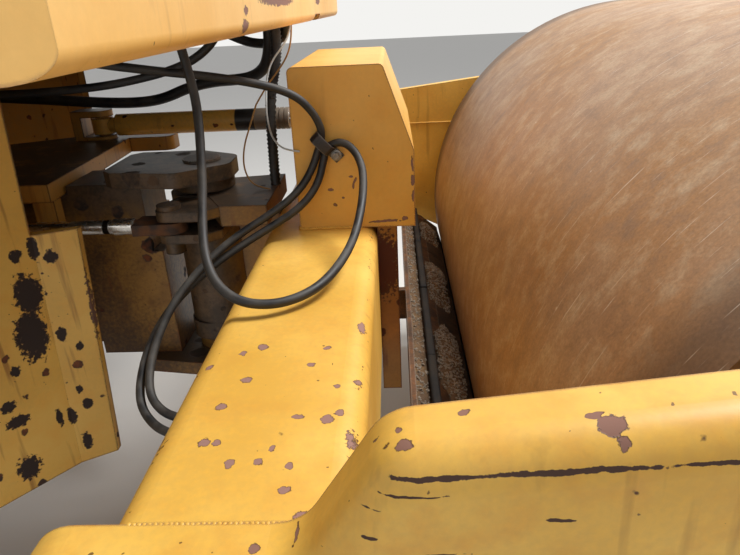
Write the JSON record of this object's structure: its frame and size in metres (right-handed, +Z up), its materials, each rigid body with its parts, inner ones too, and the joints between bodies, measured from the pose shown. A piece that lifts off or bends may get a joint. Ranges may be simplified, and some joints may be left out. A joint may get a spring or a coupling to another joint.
{
  "type": "road roller front drum module",
  "caption": "Front drum module of an articulated road roller: smooth drum in its frame, scraper, hitch with steering cylinders, and rear-frame nose.",
  "frame": {"origin": "centre of the bolt rectangle on the nose bulkhead's rear face, on the hitch's roll axis", "axes": "+X forward towards the drum, +Y left, +Z up; the ground is 0.9 m below the origin"},
  "size_m": [3.715, 2.48, 1.6648],
  "materials": {
    "yellow_paint": "satin, chipped",
    "dark_paint": "matte",
    "rusty_steel": "greasy, rusted",
    "scraper_steel": "rusted",
    "drum_steel": "surface rust",
    "cast_iron": "matte",
    "rubber": "matte",
    "dark_steel": "satin",
    "chrome": "polished",
    "hose_rubber": "dusty",
    "zinc_steel": "dull zinc"
  },
  "bodies": {
    "nose": {"bulkhead": "yellow_paint", "bearing_housing": "rusty_steel", "wing_right": "yellow_paint", "wing_left": "yellow_paint", "deck_beam": "yellow_paint", "deck_plate": "dark_paint", "hose_loop_upper": "hose_rubber", "hose_return_upper": "hose_rubber", "hose_unions": "zinc_steel"},
    "yoke": {"yoke_frame": "yellow_paint", "hitch_casting": "rusty_steel", "king_pin": "rusty_steel", "trunnion": "rusty_steel"},
    "front_frame": {"side_rail_right": "yellow_paint", "side_rail_left": "yellow_paint", "crossmember": "yellow_paint", "nose_beam": "yellow_paint", "hitch_box": "yellow_paint", "post_plate": "yellow_paint", "tongue": "rusty_steel", "left_cylinder_lug": "yellow_paint", "scraper_beam": "scraper_steel", "scraper_shelf": "scraper_steel", "scraper_blades": "scraper_steel", "drum_disc_right": "dark_steel", "drum_disc_left": "dark_steel", "drum_buffers_right": "rubber", "drum_buffers_left": "rubber", "drum_spindle_right": "dark_steel", "drum_spindle_left": "dark_steel", "travel_motor": "dark_steel", "vibration_motor": "dark_steel", "hose_loop_lower": "hose_rubber", "hose_return_lower": "hose_rubber", "hose_drop_rear": "hose_rubber", "hose_drop_front": "hose_rubber", "hose_clamp": "zinc_steel"},
    "drum": {"drum_shell": "drum_steel", "drum_head_right": "drum_steel", "drum_head_left": "drum_steel", "exciter": "cast_iron"},
    "right_barrel": {"right_barrel": "yellow_paint"},
    "right_rod": {"right_rod": "chrome"},
    "left_barrel": {"left_barrel": "yellow_paint"},
    "left_rod": {"left_rod": "chrome"}
  },
  "joints": [
    {"name": "oscillation", "type": "hinge", "parent": "nose", "child": "yoke", "pos_m": [0.2, 0, 0], "axis": [1, 0, 0], "range_deg": [-10, 10], "deforming": ["hose_loop_upper", "hose_return_upper"]},
    {"name": "steering", "type": "hinge", "parent": "yoke", "child": "front_frame", "pos_m": [1.182, 0, 0], "axis": [0, 0, 1], "range_deg": [-30, 30], "deforming": ["hose_loop_lower", "hose_return_lower"]},
    {"name": "drum_roll", "type": "hinge", "parent": "front_frame", "child": "drum", "pos_m": [2.6, 0, -0.15], "axis": [0, 1, 0], "continuous": true},
    {"name": "right_swing", "type": "hinge", "parent": "yoke", "child": "right_barrel", "pos_m": [0.465, -0.18, 0.163], "axis": [0, 0, 1], "range_deg": [-2, 2]},
    {"name": "right_stroke", "type": "slide", "parent": "right_barrel", "child": "right_rod", "axis": [1, 0, 0], "range_m": [-0.09, 0.09]},
    {"name": "left_swing", "type": "hinge", "parent": "yoke", "child": "left_barrel", "pos_m": [0.745, 0.43, 0.307], "axis": [0, 0, 1], "range_deg": [-16, 16]},
    {"name": "left_stroke", "type": "slide", "parent": "left_barrel", "child": "left_rod", "axis": [1, 0, 0], "range_m": [-0.225, 0.225]}
  ],
  "couplings": [
    {"joint": "right_swing", "follows": "steering", "ratio": -0.055},
    {"joint": "right_stroke", "follows": "steering", "m_per_rad": 0.17},
    {"joint": "left_swing", "follows": "steering", "ratio": 0.522},
    {"joint": "left_stroke", "follows": "steering", "m_per_rad": -0.425}
  ]
}
